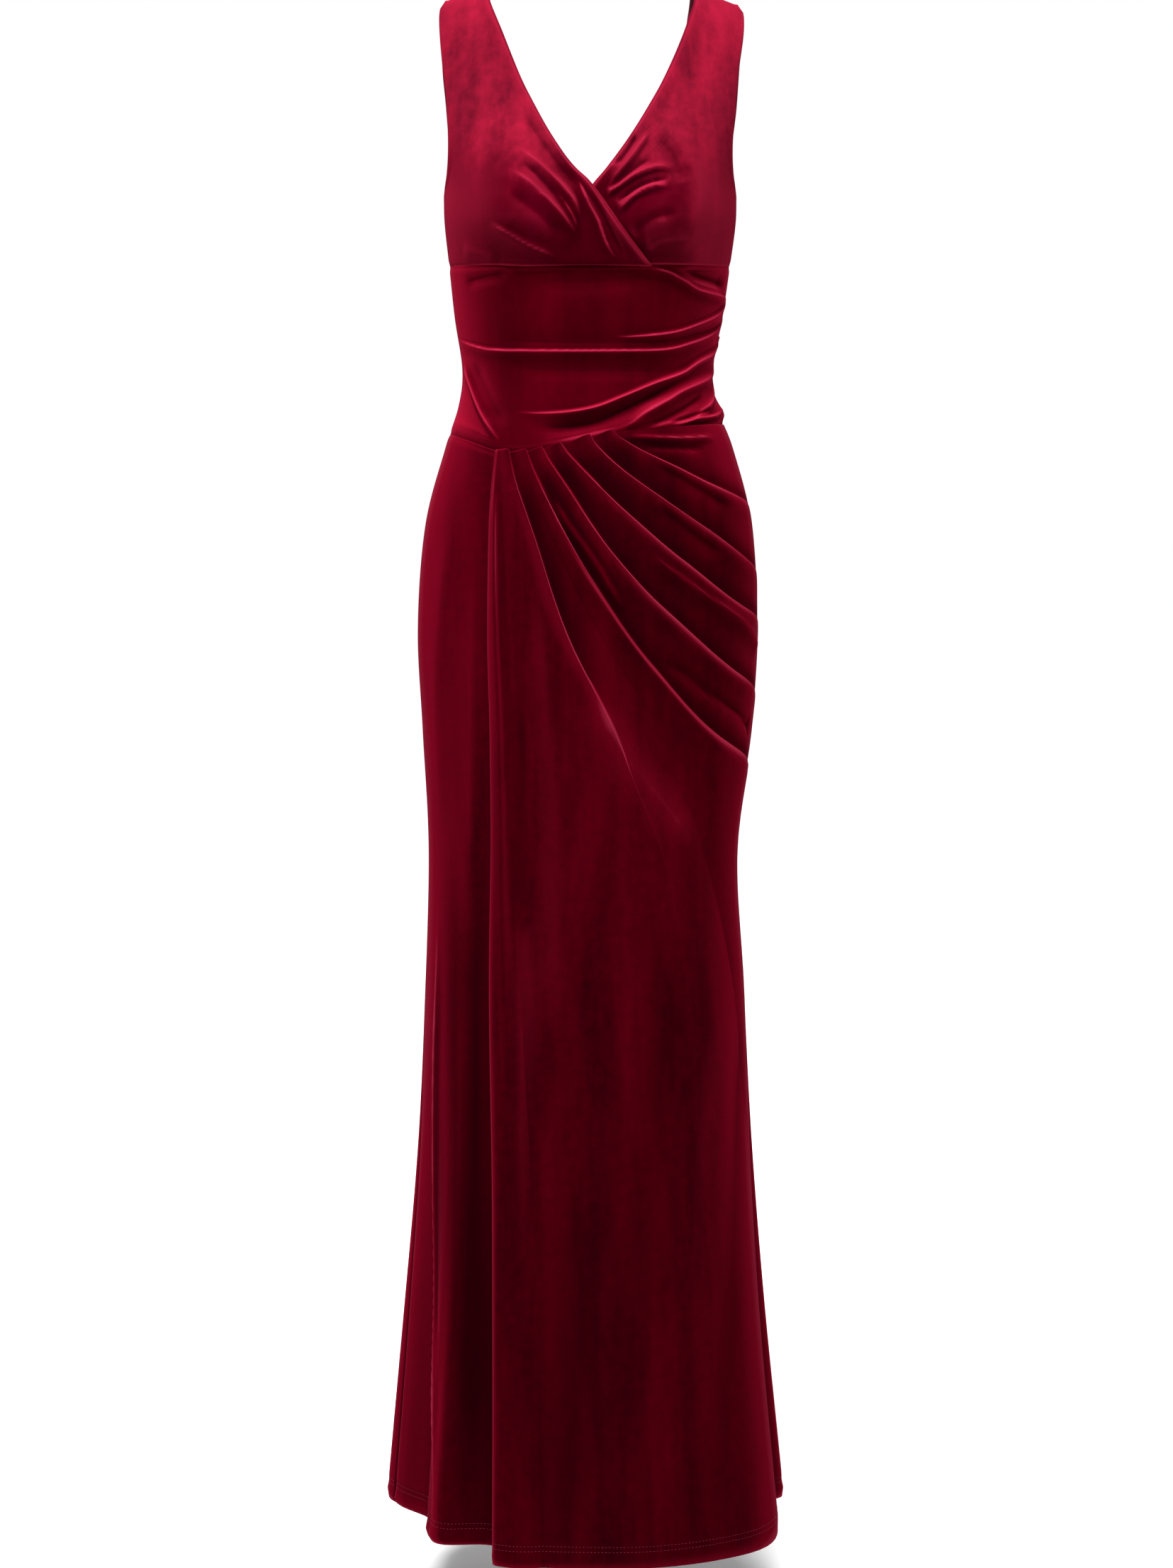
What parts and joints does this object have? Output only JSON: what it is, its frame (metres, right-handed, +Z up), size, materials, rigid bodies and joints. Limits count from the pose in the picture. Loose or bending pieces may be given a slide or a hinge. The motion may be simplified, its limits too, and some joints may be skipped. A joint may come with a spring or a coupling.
{
  "type": "evening dress",
  "caption": "Sleeveless floor-length evening dress in stretch velvet, with a wrapped V neck, a ruched midriff and a pleated skirt drape, worn form.",
  "frame": {"origin": "midway between the two shoulder straps, at the height of the wearer's shoulders", "axes": "+Z up towards the neck, +X to the right of the front view, the front faces -Y"},
  "size_m": [0.4069, 0.3535, 1.5131],
  "materials": {
    "bodice_velvet": "matte",
    "midriff_velvet": "matte",
    "skirt_velvet": "matte"
  },
  "bodies": {
    "root": {"bodice_front_right": "bodice_velvet", "bodice_front_left": "bodice_velvet", "bodice_back_right": "bodice_velvet", "bodice_back_left": "bodice_velvet", "midriff_front": "midriff_velvet", "midriff_back": "midriff_velvet", "skirt_front_right": "skirt_velvet", "skirt_front_drape": "skirt_velvet", "skirt_back_right": "skirt_velvet", "skirt_back_left": "skirt_velvet"}
  },
  "joints": []
}
